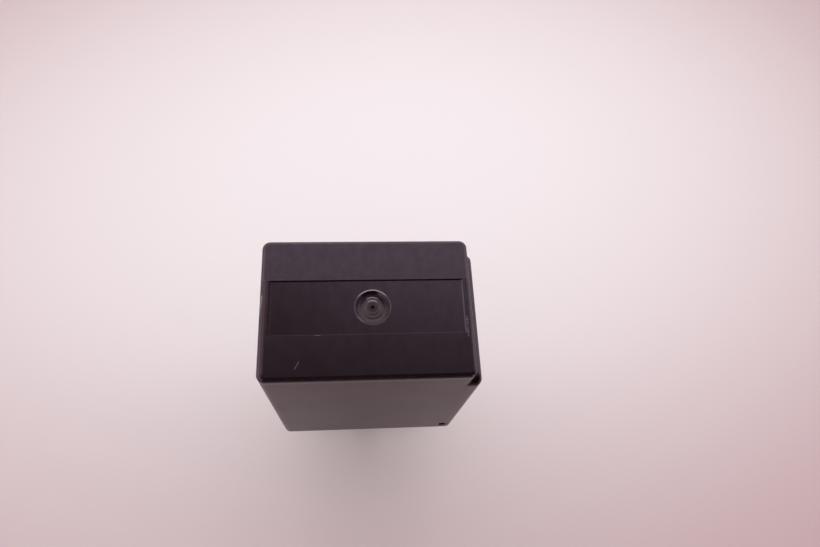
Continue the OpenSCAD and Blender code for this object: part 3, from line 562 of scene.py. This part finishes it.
def makeSpringLeaf():
    # Centreline: flat lengths and bends give the heading as a function of the path length, and its sine and
    # cosine added up give the place. The outline's half width at each point closes to a half circle at the
    # end, and the section is a thin slab carried along the line.
    v = springLeaf
    low = [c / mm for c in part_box("contact_spring")[0]]
    slope, radius = v["jogAngle"], v["jogRadius"]
    jogRun = (v["jogOut"] - 2 * radius * (1 - math.cos(slope))) / math.sin(slope)
    jogRise = 2 * radius * math.sin(slope) + jogRun * math.cos(slope)
    turn = math.pi / 2 - v["armTilt"]
    lengths = [v["kneeTop"] - v["leadUp"] - jogRise - low[2], radius * slope, jogRun, radius * slope,
               v["leadUp"], v["kneeRadius"] * turn, v["armLength"]]
    headings = [0, 0, -slope, -slope, 0, 0, turn, turn]
    knots = np.concatenate([[0], np.cumsum(lengths)])
    armStart, whole = knots[-2:]
    fine = np.linspace(0, whole, v["steps"] + 1)
    heading = np.interp(fine, knots, headings)
    middle = (heading[1:] + heading[:-1]) / 2
    startX = low[0] + v["jogOut"] + v["thick"] / 2
    lineX = np.concatenate([[0], np.cumsum(np.sin(middle))]) * fine[1] + startX
    lineZ = np.concatenate([[0], np.cumsum(np.cos(middle))]) * fine[1] + low[2]
    along = whole * (1 - (1 - np.linspace(0, 1, v["rows"])) ** v["crowding"])
    px, pz, turnAt = (np.interp(along, fine, line) for line in (lineX, lineZ, heading))
    endHalf = v["endWidth"] / 2
    half = np.interp(along - armStart, [v["taperStart"], v["taperEnd"]], [v["width"] / 2, endHalf])
    intoEnd = endHalf - np.clip(whole - along, 0, endHalf)
    # the last row keeps a width of 0.002 mm
    half = np.minimum(half, np.sqrt(np.clip(endHalf ** 2 - intoEnd ** 2, 0.001 ** 2, None)))
    across = np.linspace(-1, 1, v["columns"])
    grid = np.zeros((2, v["rows"], v["columns"], 3))
    for side, sign in enumerate((-1, 1)):
        grid[side, :, :, 0] = (px + sign * np.cos(turnAt) * v["thick"] / 2)[:, None]
        grid[side, :, :, 1] = half[:, None] * across[None, :]
        grid[side, :, :, 2] = (pz - sign * np.sin(turnAt) * v["thick"] / 2)[:, None]
    under, over = np.arange(grid[..., 0].size).reshape(grid.shape[:3])
    edges = (np.s_[:, 0], True), (np.s_[:, -1], False), (np.s_[0], False), (np.s_[-1], True)
    rims = [quads(np.stack([under[edge], over[edge]], 1), flip) for edge, flip in edges]
    faces = np.concatenate([quads(under, True), quads(over), *rims])
    return meshFrom("contactSpringLeaf", grid.reshape(-1, 3) * mm, faces)


leaf = makeSpringLeaf()
leaf.data.materials.append(springBronze)
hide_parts("contact_spring")
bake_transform(leaf)
print("contact spring built")


floorLook = {
    "size": 3.0, "cells": 8, "roughness": 0.7, "shine": 0.2,     # size in m
    # From here in units of 0.1 m. The colour is pale plus the rate times the painted shade, which is a
    # quadratic in x and in y from the brightest place, softly held under most: the floor is painted darker
    # towards the front and sides.
    "unit": 0.1, "pale": (0.892, 0.884, 0.876), "floorShadeRate": (-0.8, -1.1, -1.07), "most": 0.5,
    "brightAt": 0.43, "xx": 0.32, "yy": 0.67, "xy": -0.13, "x": 0.02,
    # it goes over to a plain tone between these distances
    "farFrom": (0.95, 2.0), "far": (0.57, 0.505, 0.51, 1),
}


def makeFloor():
    # a flat grid at z = 0
    look = floorLook
    steps = np.linspace(-0.5, 0.5, look["cells"] + 1) * look["size"]
    gx, gy = np.meshgrid(steps, steps, indexing="ij")
    points = np.stack([gx, gy, np.zeros_like(gx)], -1).reshape(-1, 3)
    floor = meshFrom("floor", points, quads(np.arange(gx.size).reshape(gx.shape)))
    material, b, shader = newMaterial("paleFloor", Roughness=look["roughness"],
                                      Specular_IOR_Level=look["shine"])
    x, y = b.split(b.place(look["unit"]))[:2]
    offset = b.math("SUBTRACT", y, look["brightAt"])
    # painted shade: the floor darker away from its brightest place
    floorShade = b.times(x, look["x"])
    for first, second, rate in ((x, x, "xx"), (offset, offset, "yy"), (x, y, "xy")):
        floorShade = b.math("MULTIPLY_ADD", b.times(first, second), look[rate], floorShade)
    # painted shade s: s / (1 + (s / most)^4)^(1/4) stays under the most without a kink
    held = b.math("POWER", b.math("DIVIDE", b.math("MAXIMUM", floorShade, 0.0), look["most"]), 4.0)
    floorShade = b.math("DIVIDE", floorShade, b.math("POWER", b.math("ADD", held, 1.0), 0.25))
    near = b.vector("ADD", b.scaled(look["floorShadeRate"], floorShade), look["pale"])
    farAway = b.smooth(b.flatLength(x, offset), *look["farFrom"])
    b.feed(shader["Base Color"], b.mix(farAway, near, look["far"]))
    floor.data.materials.append(material)


roomLook = {
    "darkAxis": (-0.12, -0.74, 0.66), "darkTo": 0.44, "openFrom": 0.24,     # cosines
    "dark": (0.02, 0.015, 0.02, 1), "fill": (0.60, 0.51, 0.52, 1),
    "left": (2.1, 1.96, 2.05, 1), "right": (1.75, 1.65, 1.72, 1),
    "leftWindow": (-0.36, -0.56),     # open towards the left, by the direction's x
    "level": 0.87,     # of all light but reflections
    "backdrop": (0.61, 0.525, 0.55, 1),
}


def makeWorld():
    # Light from all round. One lobe overhead and in front, given by the cosine to its axis, is dark in
    # reflections and dim for the light that falls on the floor.
    look = roomLook
    world = bpy.data.worlds.new("softRoom")
    world.use_nodes = True
    bpy.context.scene.world = world
    b = Bench(world.node_tree)
    background = world.node_tree.nodes["Background"].inputs
    paths = b.add("ShaderNodeLightPath").outputs
    glossy = paths["Is Glossy Ray"]
    direction = b.add("ShaderNodeTexCoord").outputs["Generated"]
    across = b.split(direction)[0]
    cosine = b.vector("DOT_PRODUCT", direction, look["darkAxis"], output=1)
    openShare = b.greatest(b.smooth(cosine, look["darkTo"], look["openFrom"]),
                           b.times(b.smooth(across, *look["leftWindow"]), glossy))
    leftward = b.math("MULTIPLY_ADD", across, -0.5, 0.5)     # 1 at the left, 0 at the right
    bright = b.mix(leftward, look["right"], look["left"])
    tone = b.mix(openShare, b.mix(glossy, look["fill"], look["dark"]), bright)
    b.feed(background["Color"], b.mix(paths["Is Camera Ray"], tone, look["backdrop"]))
    b.feed(background["Strength"], b.math("MULTIPLY_ADD", glossy, 1 - look["level"], look["level"]))


lampTarget = (0, 0, 0.02)     # m
lamps = {
    # place in m, size in m, power in W, colour
    "windowBehind": ((0.02, 0.62, 0.42), 0.6, 0.4, (1.0, 0.955, 0.98)),
    "leftSide": ((-0.62, 0.12, 0.34), 0.5, 0.4, (1.0, 0.96, 0.98)),
    "rightSide": ((0.62, 0.12, 0.34), 0.5, 0.4, (1.0, 0.96, 0.98)),
}


def makeLamps():
    for name, (place, size, power, colour) in lamps.items():
        lamp = bpy.data.lights.new(name, "AREA")
        lamp.shape, lamp.size, lamp.energy, lamp.color = "DISK", size, power, colour
        holder = bpy.data.objects.new(name, lamp)
        holder.location = place
        aim = np.array(lampTarget) - np.array(holder.location)
        aim /= np.linalg.norm(aim)
        holder.rotation_euler = (math.acos(-aim[2]), 0, math.atan2(-aim[0], aim[1]))
        bpy.context.scene.collection.objects.link(holder)


view = {
    "lens": 27.22, "sensor": 36.0,     # mm
    "clip": (0.002, 10.0), "place": (-0.00210, -0.02262, 0.09906),     # m
    "turn": (23.78, -4.65, -2.74),     # degrees
}


def makeCamera():
    camera = bpy.data.objects.new("camera", bpy.data.cameras.new("camera"))
    camera.data.lens, camera.data.sensor_width = view["lens"], view["sensor"]
    camera.data.clip_start, camera.data.clip_end = view["clip"]
    camera.location = view["place"]
    camera.rotation_euler = [math.radians(a) for a in view["turn"]]
    bpy.context.scene.collection.objects.link(camera)
    bpy.context.scene.camera = camera


makeFloor()
makeWorld()
makeLamps()
makeCamera()
bpy.context.scene.view_settings.view_transform = "Standard"
print("floor, lamps and camera set")
